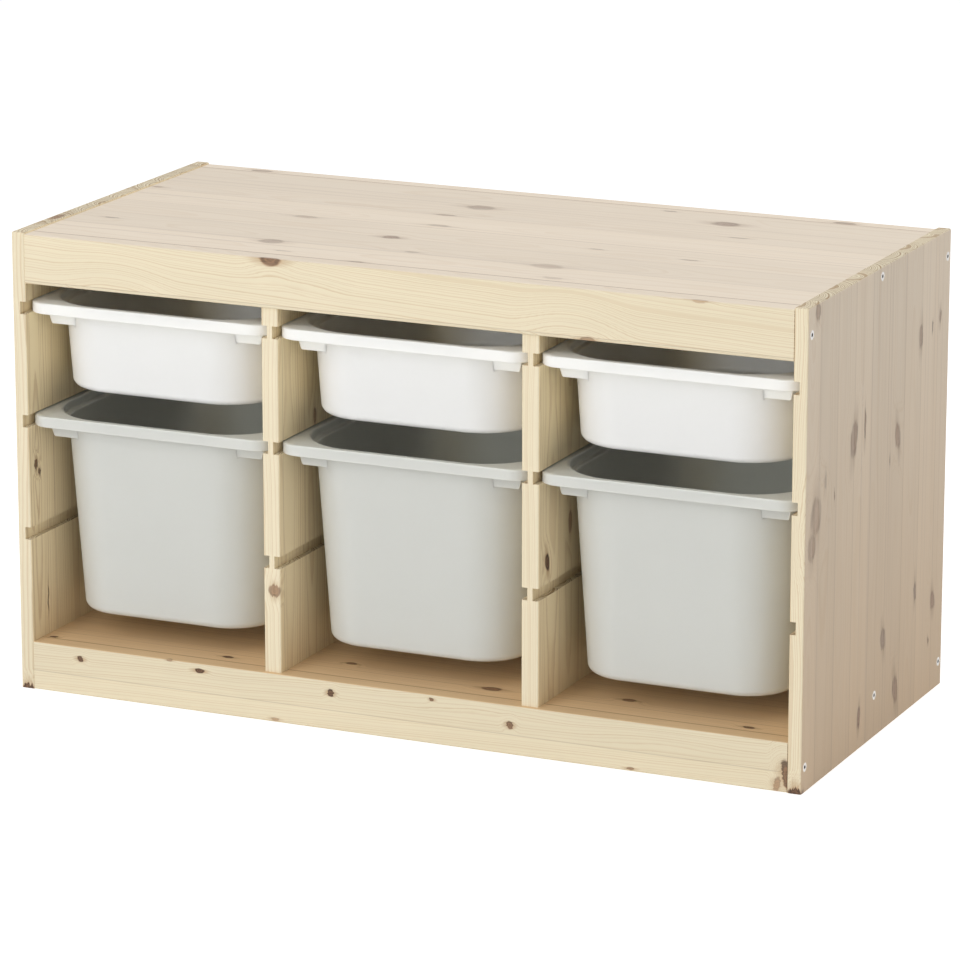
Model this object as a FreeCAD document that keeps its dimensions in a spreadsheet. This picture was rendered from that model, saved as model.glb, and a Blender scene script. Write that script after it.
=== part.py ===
"""Pine storage frame with three bays and six moulded bins that slide in side grooves.

Origin at the middle of the footprint on the floor. X runs along the frame, the open
front faces -Y and Z is up. All sizes are millimetres.
"""
import FreeCAD
import Part
import Sketcher
import math
import os
import re
from FreeCAD import Vector

SIZES = {
    # frame, outer size and boards
    "frame_width": 930,
    "frame_depth": 440,
    "frame_height": 520,
    "side_thickness": 16,
    "divider_thickness": 20,
    "divider_setback": 5,        # front edge of a divider behind the rails' front face
    "rail_height": 55,
    "rail_thickness": 20,
    "panel_thickness": 16,
    "top_step": 2,               # side panels stand this much above the top board
    "edge_round": 2,
    # grooves that carry the bins
    "groove_count": 3,
    "groove_height": 14,
    "groove_depth": 7,
    "groove_pitch": 128,
    "top_groove_drop": 84.5,     # top of the frame to the middle of the first groove
    "groove_stop": 12,           # wood left behind the closed end of a groove
    # tongue of the boards in the rails
    "tongue_thickness": 6,
    "tongue_length": 6,
    "tongue_clearance": 0.2,
    # wooden dowels
    "dowel_diameter": 8,
    "dowel_length": 30,
    "dowel_bite": 10,            # length of a dowel in the thinner board
    "dowel_clearance": 0.5,      # room past each end of a dowel
    "dowel_offset": 17,          # dowel below the screw in a rail's end
    "divider_dowel_inset": 100,  # dowel from the front and back faces of the frame
    # one-piece furniture screws
    "screw_head": 10,
    "screw_shoulder": 7,
    "screw_thread": 5,
    "screw_length": 50,
    "screw_clearance": 0.1,
    "head_cone": 3,              # depth of the tapered head
    "socket_width": 4,
    "socket_depth": 2.6,
    # bins, shared rim and walls
    "rim_side_gap": 1,
    "rim_seat_gap": 0.3,
    "rim_stop_gap": 1,
    "rim_length": 420,
    "rim_height": 12.2,
    "rim_corner": 26,
    "rim_plate": 2.5,
    "rim_round": 1.5,
    "lip_wall": 2.2,
    "mouth_side": 12,            # rim's outer edge to the mouth, along X
    "mouth_end": 8,              # the same, along Y
    "mouth_corner": 74,
    "shoulder_depth": 11.5,
    "body_side": 16.6,           # rim's outer edge to the body's wall, along X
    "body_end": 12.9,            # the same, along Y
    "body_corner": 69.5,
    "wall_slope": 0.07,          # draft, mm inwards for each mm down
    "bin_wall": 2.5,
    "bottom_round": 8,
    "stack_gap": 28,             # rim of a deep bin to the shallow bin above it
    "floor_gap": 30,             # bottom board to the deep bin above it
    # webs that hang under the rim's corners
    "web_setback": 22,           # web behind the rim's front edge
    "web_thickness": 3,
    "web_side": 14,              # web's outer end from the rim's side edge, at the top
    "web_taper": 6.5,            # outer end leans in by this much at the bottom
    "web_reach": 56,             # inner end, inside the body's wall
    "web_drop": 27.5,            # rim's top to the web's lower edge
    "web_nose": 2.5,
    "web_root": 4,
}

BAY = "(frame_width - 2 * side_thickness - 2 * divider_thickness) / 3"
BAY_PITCH = f"({BAY} + divider_thickness)"
INNER_WIDTH = "(frame_width - 2 * side_thickness)"
DECK_TOP = "(frame_height - top_step)"
RAIL_BASES = {"bottom": "0", "top": f"({DECK_TOP} - rail_height)"}
GROOVE_MIDDLE = "(frame_height - top_groove_drop)"
SEAT_DROP = "(groove_height / 2 - rim_seat_gap)"
DRILL_GAP = "dowel_bite + dowel_clearance"
DOWEL_REST = "dowel_length - dowel_bite + dowel_clearance"

doc = FreeCAD.newDocument("storage_frame")
sheet = doc.addObject("Spreadsheet::Sheet", "Sizes")
for row, (alias, size) in enumerate(SIZES.items(), start=1):
    sheet.set(f"A{row}", alias)
    sheet.set(f"B{row}", str(size))
    sheet.setAlias(f"B{row}", alias)
doc.recompute()

nodes = {}


def linked(text):
    """Point each size named in an expression at its cell in the sheet."""
    return re.sub(r"\b[a-z]+(?:_[a-z]+)+\b", r"Sizes.\g<0>", text)


def number(text):
    """Work out an expression's present value."""
    return float(sheet.evalExpression(linked(text)))


def new_body(label, x="0", y="0", z="0"):
    body = doc.addObject("PartDesign::Body", label)
    body.Label = label
    for axis, text in (("x", x), ("y", y), ("z", z)):
        body.setExpression(f"Placement.Base.{axis}", linked(text))
    return body


def frame_body(label):
    """Body measured from the middle of the frame's front edge, on the floor."""
    body = new_body(label, y="-frame_depth / 2")
    nodes[label] = body
    return body


def new_sketch(body, name, role, offset="0"):
    sketch = body.newObject("Sketcher::SketchObject", name)
    planes = [item for item in body.Origin.OriginFeatures if item.Role == role]
    sketch.AttachmentSupport = [(planes[0], "")]
    sketch.MapMode = "FlatFace"
    sketch.setExpression("AttachmentOffset.Base.z", linked(offset))
    return sketch


def hold(sketch, constraint, text):
    """Add a sized constraint and tie its value to the sheet."""
    index = sketch.addConstraint(constraint)
    sketch.setExpression(f"Constraints[{index}]", linked(text))


def pin(sketch, item, point, across, up):
    """Fix one point of a sketch at a place measured from the sketch's origin."""
    hold(sketch, Sketcher.Constraint("DistanceX", -1, 1, item, point, number(across)), across)
    hold(sketch, Sketcher.Constraint("DistanceY", -1, 1, item, point, number(up)), up)


def polygon(sketch, corners):
    """Closed outline of straight edges through corners given as expressions."""
    first = sketch.GeometryCount
    places = [Vector(number(across), number(up), 0) for across, up in corners]
    count = len(places)
    for index in range(count):
        sketch.addGeometry(Part.LineSegment(places[index], places[(index + 1) % count]))
    for index in range(count):
        follower = first + (index + 1) % count
        sketch.addConstraint(Sketcher.Constraint("Coincident", first + index, 2, follower, 1))
    for index, (across, up) in enumerate(corners):
        pin(sketch, first + index, 1, across, up)


def box_outline(sketch, left, bottom, right, top):
    polygon(sketch, [(left, bottom), (right, bottom), (right, top), (left, top)])


def circle(sketch, across, up, diameter):
    centre = Vector(number(across), number(up), 0)
    ring = Part.Circle(centre, Vector(0, 0, 1), number(diameter) / 2)
    item = sketch.addGeometry(ring)
    pin(sketch, item, 3, across, up)
    hold(sketch, Sketcher.Constraint("Diameter", item, number(diameter)), diameter)


def rounded_outline(sketch, width, length, radius):
    """Rectangle with equal round corners, centred on the sketch's origin."""
    first = sketch.GeometryCount
    corner = number(radius)
    half_x = number(width) / 2
    half_y = number(length) / 2
    inner_x = half_x - corner
    inner_y = half_y - corner
    quarter = math.pi / 2
    sides = [
        (Vector(-inner_x, -half_y, 0), Vector(inner_x, -half_y, 0)),
        (Vector(half_x, -inner_y, 0), Vector(half_x, inner_y, 0)),
        (Vector(inner_x, half_y, 0), Vector(-inner_x, half_y, 0)),
        (Vector(-half_x, inner_y, 0), Vector(-half_x, -inner_y, 0)),
    ]
    centres = [(inner_x, -inner_y), (inner_x, inner_y), (-inner_x, inner_y), (-inner_x, -inner_y)]
    for index, (start, end) in enumerate(sides):
        sketch.addGeometry(Part.LineSegment(start, end))
        bend = Part.Circle(Vector(*centres[index], 0), Vector(0, 0, 1), corner)
        sketch.addGeometry(Part.ArcOfCircle(bend, (index - 1) * quarter, index * quarter))
    for index in range(4):
        line = first + 2 * index
        follower = first + (2 * index + 2) % 8
        sketch.addConstraint(Sketcher.Constraint("Tangent", line, 2, line + 1, 1))
        sketch.addConstraint(Sketcher.Constraint("Tangent", line + 1, 2, follower, 1))
        level = "Horizontal" if index % 2 == 0 else "Vertical"
        sketch.addConstraint(Sketcher.Constraint(level, line))
    for arc in (3, 5, 7):
        sketch.addConstraint(Sketcher.Constraint("Equal", first + 1, first + arc))
    sketch.addConstraint(Sketcher.Constraint("Symmetric", first + 1, 3, first + 5, 3, -1, 1))
    hold(sketch, Sketcher.Constraint("DistanceX", first + 6, 1, first + 2, 1, 2 * half_x), width)
    hold(sketch, Sketcher.Constraint("DistanceY", first, 1, first + 4, 1, 2 * half_y), length)
    hold(sketch, Sketcher.Constraint("Radius", first + 1, corner), radius)


def feature(body, kind, name, profile, length, backwards=False):
    """Pad or Pocket of a profile; backwards turns it against the usual way."""
    made = body.newObject(f"PartDesign::{kind}", name)
    made.Profile = profile
    made.setExpression("Length", linked(length))
    made.Reversed = backwards
    doc.recompute()
    return made


def cut(body, name, profile, depth, backwards=False):
    """Pocket that must take material away."""
    before = body.Shape.Volume
    made = feature(body, "Pocket", name, profile, depth, backwards)
    if body.Shape.Volume >= before:
        raise RuntimeError(f"{body.Label}: {name} cuts nothing")
    return made


def repeat_up(body, name, cut_feature, sketch, pitch, count):
    """Copies of a cut, stacked upwards along the sketch's vertical axis."""
    pattern = body.newObject("PartDesign::LinearPattern", name)
    pattern.Originals = [cut_feature]
    pattern.Direction = (sketch, ["V_Axis"])
    pattern.setExpression("Length", linked(f"{pitch} * ({count} - 1)"))
    pattern.setExpression("Occurrences", linked(count))
    body.Tip = pattern
    doc.recompute()


def mirror(body, name, originals, role):
    copies = body.newObject("PartDesign::Mirrored", name)
    copies.Originals = originals
    planes = [item for item in body.Origin.OriginFeatures if item.Role == role]
    copies.MirrorPlane = (planes[0], [""])
    body.Tip = copies
    doc.recompute()


def round_edges(body, name, radius, wanted):
    """Fillet the edges of the body's present shape that the test picks."""
    base = body.Tip
    picked = [f"Edge{place}" for place, edge in enumerate(base.Shape.Edges, 1) if wanted(edge)]
    if not picked:
        raise RuntimeError(f"{body.Label}: {name} finds no edge")
    fillet = body.newObject("PartDesign::Fillet", name)
    fillet.Base = (base, picked)
    fillet.setExpression("Radius", linked(radius))
    doc.recompute()


def near(first, second):
    return abs(first - second) < 0.001


def countersunk(body, name, sketch, backwards=False):
    """Clearance hole right through with a tapered seat for the screw's head."""
    doc.recompute()
    before = body.Shape.Volume
    hole = body.newObject("PartDesign::Hole", name)
    hole.Profile = sketch
    hole.DepthType = "ThroughAll"
    hole.Reversed = backwards
    hole.setExpression("Diameter", linked("screw_shoulder + 2 * screw_clearance"))
    hole.HoleCutType = "Countersink"
    hole.HoleCutCustomValues = True
    hole.setExpression("HoleCutDiameter", linked("screw_head"))
    spread = "(screw_head - screw_shoulder) / 2 / head_cone"
    hole.setExpression("HoleCutCountersinkAngle", linked(f"2 * atan({spread})"))
    doc.recompute()
    if body.Shape.Volume >= before:
        raise RuntimeError(f"{body.Label}: {name} cuts nothing")


RAIL_ENDS = [
    (across, f"{base} + rail_height / 2")
    for across in ("rail_thickness / 2", "frame_depth - rail_thickness / 2")
    for base in RAIL_BASES.values()
]
PANEL_ENDS = [
    ("frame_depth / 2", f"{base} + rail_height - panel_thickness / 2")
    for base in RAIL_BASES.values()
]
SIDE_SCREWS = RAIL_ENDS + PANEL_ENDS
SIDE_DOWELS = [(across, f"{up} - dowel_offset") for across, up in RAIL_ENDS]
DIVIDER_DOWELS = ["divider_dowel_inset", "frame_depth - divider_dowel_inset"]
LOWEST_GROOVE = f"{GROOVE_MIDDLE} - groove_pitch * (groove_count - 1)"


def side_panel(label, outward):
    """Upright end board, grooved on its inner face and drilled for screws and dowels."""
    body = frame_body(label)
    inner_face = f"({outward}) * {INNER_WIDTH} / 2"
    outline = new_sketch(body, f"{label}_outline", "YZ_Plane", inner_face)
    box_outline(outline, "0", "0", "frame_depth", "frame_height")
    feature(body, "Pad", f"{label}_board", outline, "side_thickness", outward < 0)
    top = number("frame_height")

    def outer_edge(edge):
        box = edge.BoundBox
        return box.ZMax > top / 2 and edge.Length > number("side_thickness") - 0.001

    round_edges(body, f"{label}_rounding", "edge_round", outer_edge)
    groove = new_sketch(body, f"{label}_groove", "XZ_Plane")
    near_edge, far_edge = inner_face, f"{inner_face} + ({outward}) * groove_depth"
    left, right = (near_edge, far_edge) if outward > 0 else (far_edge, near_edge)
    half = "groove_height / 2"
    box_outline(groove, left, f"{LOWEST_GROOVE} - {half}", right, f"{LOWEST_GROOVE} + {half}")
    lowest = cut(body, f"{label}_lowest_groove", groove, "frame_depth - groove_stop")
    repeat_up(body, f"{label}_grooves", lowest, groove, "groove_pitch", "groove_count")
    dowels = new_sketch(body, f"{label}_dowel_places", "YZ_Plane", inner_face)
    for across, up in SIDE_DOWELS:
        circle(dowels, across, up, "dowel_diameter")
    cut(body, f"{label}_dowel_holes", dowels, DRILL_GAP, outward > 0)
    outer_face = f"({outward}) * frame_width / 2"
    screws = new_sketch(body, f"{label}_screw_places", "YZ_Plane", outer_face)
    for across, up in SIDE_SCREWS:
        circle(screws, across, up, "screw_shoulder")
    countersunk(body, f"{label}_screw_holes", screws, outward < 0)


def divider(label, middle):
    """Board between two bays, grooved on both faces and notched under the top rails."""
    body = frame_body(label)
    body.setExpression("Placement.Base.x", linked(middle))
    rail_under = f"{DECK_TOP} - rail_height"
    deck_under = f"{DECK_TOP} - panel_thickness"
    back_inner = "frame_depth - rail_thickness"
    outline = new_sketch(body, f"{label}_outline", "YZ_Plane")
    polygon(outline, [
        ("divider_setback", "rail_height"),
        ("frame_depth", "rail_height"),
        ("frame_depth", rail_under),
        (back_inner, rail_under),
        (back_inner, deck_under),
        ("rail_thickness", deck_under),
        ("rail_thickness", rail_under),
        ("divider_setback", rail_under),
    ])
    board = feature(body, "Pad", f"{label}_board", outline, "divider_thickness")
    board.Midplane = True
    doc.recompute()
    front = number("divider_setback")
    back = number("frame_depth")

    def upright_edge(edge):
        box = edge.BoundBox
        at_face = near(box.YMin, front) or near(box.YMax, back)
        return at_face and near(box.YLength, 0) and near(box.XLength, 0)

    round_edges(body, f"{label}_rounding", "edge_round", upright_edge)
    grooves = new_sketch(body, f"{label}_groove", "XZ_Plane")
    low = f"{LOWEST_GROOVE} - groove_height / 2"
    high = f"{LOWEST_GROOVE} + groove_height / 2"
    face = "divider_thickness / 2"
    box_outline(grooves, f"-{face}", low, f"groove_depth - {face}", high)
    box_outline(grooves, f"{face} - groove_depth", low, face, high)
    lowest = cut(body, f"{label}_lowest_groove", grooves, "frame_depth - groove_stop")
    repeat_up(body, f"{label}_grooves", lowest, grooves, "groove_pitch", "groove_count")
    for end, level, downwards in (("top", deck_under, True), ("bottom", "rail_height", False)):
        places = new_sketch(body, f"{label}_{end}_dowel_places", "XY_Plane", level)
        for up in DIVIDER_DOWELS:
            circle(places, "0", up, "dowel_diameter")
        cut(body, f"{label}_{end}_dowel_holes", places, DOWEL_REST, not downwards)
    pilot = new_sketch(body, f"{label}_pilot_place", "XY_Plane", "rail_height")
    circle(pilot, "0", "frame_depth / 2", "screw_thread")
    bite = "screw_length - panel_thickness + dowel_clearance"
    cut(body, f"{label}_pilot_hole", pilot, bite, True)


def deck_panel(label, base, is_bottom):
    """Top or bottom board with a tongue along its front and back edges."""
    body = frame_body(label)
    middle = f"{base} + rail_height - panel_thickness / 2"
    tongue_low = f"{middle} - tongue_thickness / 2"
    tongue_high = f"{middle} + tongue_thickness / 2"
    low = f"{middle} - panel_thickness / 2"
    high = f"{middle} + panel_thickness / 2"
    back = "frame_depth - rail_thickness"
    front_tip = "rail_thickness - tongue_length + tongue_clearance"
    back_tip = f"{back} + tongue_length - tongue_clearance"
    outline = new_sketch(body, f"{label}_section", "YZ_Plane")
    polygon(outline, [
        ("rail_thickness", low),
        (back, low),
        (back, tongue_low),
        (back_tip, tongue_low),
        (back_tip, tongue_high),
        (back, tongue_high),
        (back, high),
        ("rail_thickness", high),
        ("rail_thickness", tongue_high),
        (front_tip, tongue_high),
        (front_tip, tongue_low),
        ("rail_thickness", tongue_low),
    ])
    board = feature(body, "Pad", f"{label}_board", outline, INNER_WIDTH)
    board.Midplane = True
    doc.recompute()
    inner_level = high if is_bottom else low
    dowels = new_sketch(body, f"{label}_dowel_places", "XY_Plane", inner_level)
    for side in ("-1", "1"):
        for up in DIVIDER_DOWELS:
            circle(dowels, f"{side} * {BAY_PITCH} / 2", up, "dowel_diameter")
    cut(body, f"{label}_dowel_holes", dowels, DRILL_GAP, not is_bottom)
    ends = new_sketch(body, f"{label}_pilot_place", "YZ_Plane", f"-{INNER_WIDTH} / 2")
    circle(ends, "frame_depth / 2", middle, "screw_thread")
    bite = "screw_length - side_thickness + dowel_clearance"
    pilot = cut(body, f"{label}_pilot_hole", ends, bite, True)
    mirror(body, f"{label}_pilot_holes", [pilot], "YZ_Plane")
    if is_bottom:
        screws = new_sketch(body, f"{label}_screw_places", "XY_Plane", low)
        for side in ("-1", "1"):
            circle(screws, f"{side} * {BAY_PITCH} / 2", "frame_depth / 2", "screw_shoulder")
        countersunk(body, f"{label}_screw_holes", screws, True)


def rail(label, base, at_back):
    """Long rail across the front or back, grooved inside for the board's tongue."""
    body = frame_body(label)
    face = "frame_depth" if at_back else "0"
    inwards = "-1" if at_back else "1"
    inner = f"{face} + {inwards} * rail_thickness"
    groove_end = f"{inner} - {inwards} * tongue_length"
    tongue = f"{base} + rail_height - panel_thickness / 2"
    low = f"{tongue} - tongue_thickness / 2"
    high = f"{tongue} + tongue_thickness / 2"
    outline = new_sketch(body, f"{label}_section", "YZ_Plane")
    polygon(outline, [
        (face, base),
        (inner, base),
        (inner, low),
        (groove_end, low),
        (groove_end, high),
        (inner, high),
        (inner, f"{base} + rail_height"),
        (face, f"{base} + rail_height"),
    ])
    board = feature(body, "Pad", f"{label}_board", outline, INNER_WIDTH)
    board.Midplane = True
    doc.recompute()
    face_place = number(face)

    def face_edge(edge):
        box = edge.BoundBox
        return near(box.YMin, face_place) and near(box.YLength, 0) and box.XLength > 1

    round_edges(body, f"{label}_rounding", "edge_round", face_edge)
    across = f"{face} + {inwards} * rail_thickness / 2"
    middle = f"{base} + rail_height / 2"
    left_end = f"-{INNER_WIDTH} / 2"
    screw = new_sketch(body, f"{label}_pilot_place", "YZ_Plane", left_end)
    circle(screw, across, middle, "screw_thread")
    bite = "screw_length - side_thickness + dowel_clearance"
    pilot = cut(body, f"{label}_pilot_hole", screw, bite, True)
    dowel = new_sketch(body, f"{label}_dowel_place", "YZ_Plane", left_end)
    circle(dowel, across, f"{middle} - dowel_offset", "dowel_diameter")
    socket = cut(body, f"{label}_dowel_hole", dowel, DOWEL_REST, True)
    mirror(body, f"{label}_end_holes", [pilot, socket], "YZ_Plane")


def inset_outline(body, name, level, side, end, corner):
    """Rounded outline on a level plane, set in from the rim's outer edges."""
    sketch = new_sketch(body, name, "XY_Plane", level)
    rounded_outline(sketch, f"{RIM_WIDTH} - 2 * ({side})", f"rim_length - 2 * ({end})", corner)
    return sketch


RIM_WIDTH = f"({BAY} + 2 * groove_depth - 2 * rim_side_gap)"
RIM_TOPS = [f"({GROOVE_MIDDLE} - groove_pitch * {row} - {SEAT_DROP} + rim_height)"
            for row in (0, 1)]
BIN_HEIGHTS = {
    "shallow": "(groove_pitch - stack_gap)",
    "deep": f"({RIM_TOPS[1]} - rail_height - floor_gap)",
}
SHOULDER = "(shoulder_depth - bin_wall)"


def tapered_block(body, name, inset, floor, rounding):
    """Block below the shoulder: round corners, drafted sides and a rounded bottom."""
    lean = f"wall_slope * {SHOULDER} + {inset}"
    outline = inset_outline(body, f"{name}_outline", f"-{SHOULDER}", f"body_side + {lean}",
                            f"body_end + {lean}", f"body_corner - ({lean})")
    block = feature(body, "Pad", f"{name}_block", outline, f"{floor} - {SHOULDER}", True)
    top = number(f"-{SHOULDER}")
    faces = {"side": [], "top": []}
    for place, face in enumerate(block.Shape.Faces, 1):
        box = face.BoundBox
        if not near(box.ZLength, 0):
            faces["side"].append(f"Face{place}")
        elif near(box.ZMax, top):
            faces["top"].append(f"Face{place}")
    taper = body.newObject("PartDesign::Draft", f"{name}_taper")
    taper.Base = (block, faces["side"])
    taper.NeutralPlane = (block, faces["top"])
    taper.setExpression("Angle", linked("atan(wall_slope)"))
    taper.Reversed = True
    doc.recompute()
    bottom = -number(floor)

    def floor_edge(edge):
        return near(edge.BoundBox.ZMin, bottom) and near(edge.BoundBox.ZMax, bottom)

    round_edges(body, f"{name}_bottom_rounding", rounding, floor_edge)


def join_ends(sketch, item, follower):
    """Ends at which two neighbouring pieces of an outline meet: 1 is a start, 2 an end."""
    pairs = [(mine, theirs) for mine in (2, 1) for theirs in (1, 2)]
    gaps = [sketch.getPoint(item, mine).distanceToPoint(sketch.getPoint(follower, theirs))
            for mine, theirs in pairs]
    return pairs[gaps.index(min(gaps))]


def web_outline(sketch, side):
    """One web: leaning outer end, round nose, level lower edge and a curl at its root."""
    outer_top = f"{RIM_WIDTH} / 2 - web_side"
    outer_low = f"{outer_top} - web_taper"
    inner = f"{RIM_WIDTH} / 2 - web_reach"
    corners = [
        (inner, "-rim_plate / 2"),
        (outer_top, "-rim_plate / 2"),
        (outer_low, "web_nose - web_drop"),
        (f"{outer_low} - web_nose", "-web_drop"),
        (f"{inner} + web_nose + web_root", "-web_drop"),
        (f"{inner} + web_nose", "-web_drop - web_root"),
        (inner, "-web_drop - web_root"),
    ]
    bends = {
        2: ("web_nose", (f"{outer_low} - web_nose", "web_nose - web_drop"), (1, -1)),
        4: ("web_root", (f"{inner} + web_nose + web_root", "-web_drop - web_root"), (-1, 1)),
    }
    first = sketch.GeometryCount
    count = len(corners)
    places = [Vector(side * number(across), number(up), 0) for across, up in corners]
    for index in range(count):
        start, end = places[index], places[(index + 1) % count]
        if index not in bends:
            sketch.addGeometry(Part.LineSegment(start, end))
            continue
        radius, (across, up), (turn_x, turn_y) = bends[index]
        step = number(radius) / math.sqrt(2)
        middle = Vector(side * (number(across) + turn_x * step), number(up) + turn_y * step, 0)
        sketch.addGeometry(Part.Arc(start, middle, end))
    for index in range(count):
        follower = first + (index + 1) % count
        mine, theirs = join_ends(sketch, first + index, follower)
        meet = Sketcher.Constraint("Coincident", first + index, mine, follower, theirs)
        sketch.addConstraint(meet)
    for index, (across, up) in enumerate(corners):
        if index not in bends:
            pin(sketch, first + index, 1, f"{side} * ({across})", up)
    for index, (radius, _centre, _turn) in bends.items():
        across, up = corners[index]
        pin(sketch, first + index - 1, 2, f"{side} * ({across})", up)
        hold(sketch, Sketcher.Constraint("Radius", first + index, number(radius)), radius)


def bin_outside(kind, height):
    """Outside of a bin, still solid: tapered body, collar, flat rim with its lip, and webs."""
    body = new_body(f"{kind}_outside")
    tapered_block(body, f"{kind}_body", "0", height, "bottom_round")
    collar = inset_outline(body, f"{kind}_collar_outline", "0", "mouth_side - bin_wall",
                           "mouth_end - bin_wall", "mouth_corner + bin_wall")
    feature(body, "Pad", f"{kind}_collar", collar, "shoulder_depth", True)
    plate = inset_outline(body, f"{kind}_plate_outline", "0", "0", "0", "rim_corner")
    feature(body, "Pad", f"{kind}_plate", plate, "rim_plate", True)
    lip = inset_outline(body, f"{kind}_lip_outline", "0", "0", "0", "rim_corner")
    rounded_outline(lip, f"{RIM_WIDTH} - 2 * lip_wall", "rim_length - 2 * lip_wall",
                    "rim_corner - lip_wall")
    feature(body, "Pad", f"{kind}_lip", lip, "rim_height", True)
    webs = new_sketch(body, f"{kind}_web_outline", "XZ_Plane", "rim_length / 2 - web_setback")
    for side in (-1, 1):
        web_outline(webs, side)
    web = feature(body, "Pad", f"{kind}_front_webs", webs, "web_thickness", True)
    mirror(body, f"{kind}_webs", [web], "XZ_Plane")
    widest = number(RIM_WIDTH) / 2
    furthest = number("rim_length / 2")

    def rim_edge(edge):
        box = edge.BoundBox
        at_top = near(box.ZMin, 0) and near(box.ZMax, 0)
        reach = max(abs(box.XMin), abs(box.XMax))
        length = max(abs(box.YMin), abs(box.YMax))
        return at_top and (near(reach, widest) or near(length, furthest))

    round_edges(body, f"{kind}_rim_rounding", "rim_round", rim_edge)
    return body


def bin_inside(kind, height):
    """Space inside a bin: the tapered hollow and the wider mouth above its shoulder."""
    body = new_body(f"{kind}_inside")
    tapered_block(body, f"{kind}_hollow", "bin_wall", f"({height} - bin_wall)",
                  "bottom_round - bin_wall")
    mouth = inset_outline(body, f"{kind}_mouth_outline", f"-{SHOULDER}", "mouth_side",
                          "mouth_end", "mouth_corner")
    feature(body, "Pad", f"{kind}_mouth", mouth, "shoulder_depth")
    return body


def storage_bin(label, outside, inside, middle, rim_top):
    """Bin whose rim runs in a pair of grooves, against their closed ends at rest."""
    back = "frame_depth / 2 - groove_stop - rim_stop_gap"
    made = doc.addObject("Part::Cut", label)
    made.Label = label
    made.Base = outside
    made.Tool = inside
    made.setExpression("Placement.Base.x", linked(middle))
    made.setExpression("Placement.Base.y", linked(f"{back} - rim_length / 2"))
    made.setExpression("Placement.Base.z", linked(rim_top))
    doc.recompute()
    nodes[label] = made


def screw_master():
    """One-piece furniture screw along +Z, the flat of its head at the origin."""
    body = new_body("screw_master")
    profile = new_sketch(body, "screw_section", "XZ_Plane")
    polygon(profile, [
        ("0", "0"),
        ("screw_head / 2", "0"),
        ("screw_shoulder / 2", "head_cone"),
        ("screw_shoulder / 2", "side_thickness - screw_clearance"),
        ("screw_thread / 2", "side_thickness - screw_clearance"),
        ("screw_thread / 2", "screw_length - screw_thread / 2"),
        ("0", "screw_length"),
    ])
    turned = body.newObject("PartDesign::Revolution", "screw_turned")
    turned.Profile = profile
    turned.ReferenceAxis = (profile, ["V_Axis"])
    turned.Angle = 360
    doc.recompute()
    socket = new_sketch(body, "screw_socket_outline", "XY_Plane")
    half = "socket_width / 2"
    point = "socket_width / sqrt(3)"
    polygon(socket, [
        (point, "0"),
        (f"{point} / 2", half),
        (f"-{point} / 2", half),
        (f"-{point}", "0"),
        (f"-{point} / 2", f"-{half}"),
        (f"{point} / 2", f"-{half}"),
    ])
    cut(body, "screw_socket", socket, "socket_depth", True)
    return body


def dowel_master():
    """Straight wooden dowel along +Z from the origin."""
    dowel = doc.addObject("Part::Cylinder", "dowel_master")
    dowel.setExpression("Radius", linked("dowel_diameter / 2"))
    dowel.setExpression("Height", linked("dowel_length"))
    doc.recompute()
    return dowel


def group(label, master, places, axis, angle):
    """Copies of a fastener at several places, kept as one group of separate solids."""
    links = []
    for index, (x, y, z) in enumerate(places, start=1):
        link = doc.addObject("App::Link", f"{label}_{index}")
        link.LinkedObject = master
        link.LinkTransform = False
        link.Placement = FreeCAD.Placement(Vector(), FreeCAD.Rotation(axis, angle))
        for name, text in (("x", x), ("y", f"{y} - frame_depth / 2"), ("z", z)):
            link.setExpression(f"Placement.Base.{name}", linked(text))
        links.append(link)
    compound = doc.addObject("Part::Compound", label)
    compound.Label = label
    compound.Links = links
    doc.recompute()
    nodes[label] = compound


for name, outward in (("left", -1), ("right", 1)):
    side_panel(f"side_panel_{name}", outward)
    divider(f"divider_{name}", f"{outward} * {BAY_PITCH} / 2")
for level, base in RAIL_BASES.items():
    deck_panel(f"{level}_panel", base, level == "bottom")
    rail(f"{level}_front_rail", base, False)
    rail(f"{level}_back_rail", base, True)
for rim_top, (kind, height) in zip(RIM_TOPS, BIN_HEIGHTS.items()):
    outside = bin_outside(kind, height)
    inside = bin_inside(kind, height)
    for name, bay in (("left", -1), ("middle", 0), ("right", 1)):
        label = f"{kind}_bin_{name}"
        storage_bin(label, outside, inside, f"{bay} * {BAY_PITCH}", rim_top)

screw = screw_master()
dowel = dowel_master()
ALONG_Y = Vector(0, 1, 0)
for name, outward in (("left", -1), ("right", 1)):
    outer = f"{outward} * frame_width / 2"
    heads = [(outer, across, up) for across, up in SIDE_SCREWS]
    group(f"side_screws_{name}", screw, heads, ALONG_Y, -90 * outward)
    tips = f"{outward} * ({INNER_WIDTH} / 2 + dowel_bite)"
    starts = [(tips, across, up) for across, up in SIDE_DOWELS]
    group(f"rail_dowels_{name}", dowel, starts, ALONG_Y, -90 * outward)
    middle = f"{outward} * {BAY_PITCH} / 2"
    starts = [(middle, across, f"{DECK_TOP} - panel_thickness + dowel_bite - dowel_length")
              for across in DIVIDER_DOWELS]
    starts += [(middle, across, "rail_height - dowel_bite") for across in DIVIDER_DOWELS]
    group(f"divider_dowels_{name}", dowel, starts, ALONG_Y, 0)
under = [(f"{side} * {BAY_PITCH} / 2", "frame_depth / 2", "rail_height - panel_thickness")
         for side in (-1, 1)]
group("divider_screws", screw, under, ALONG_Y, 0)

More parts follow.
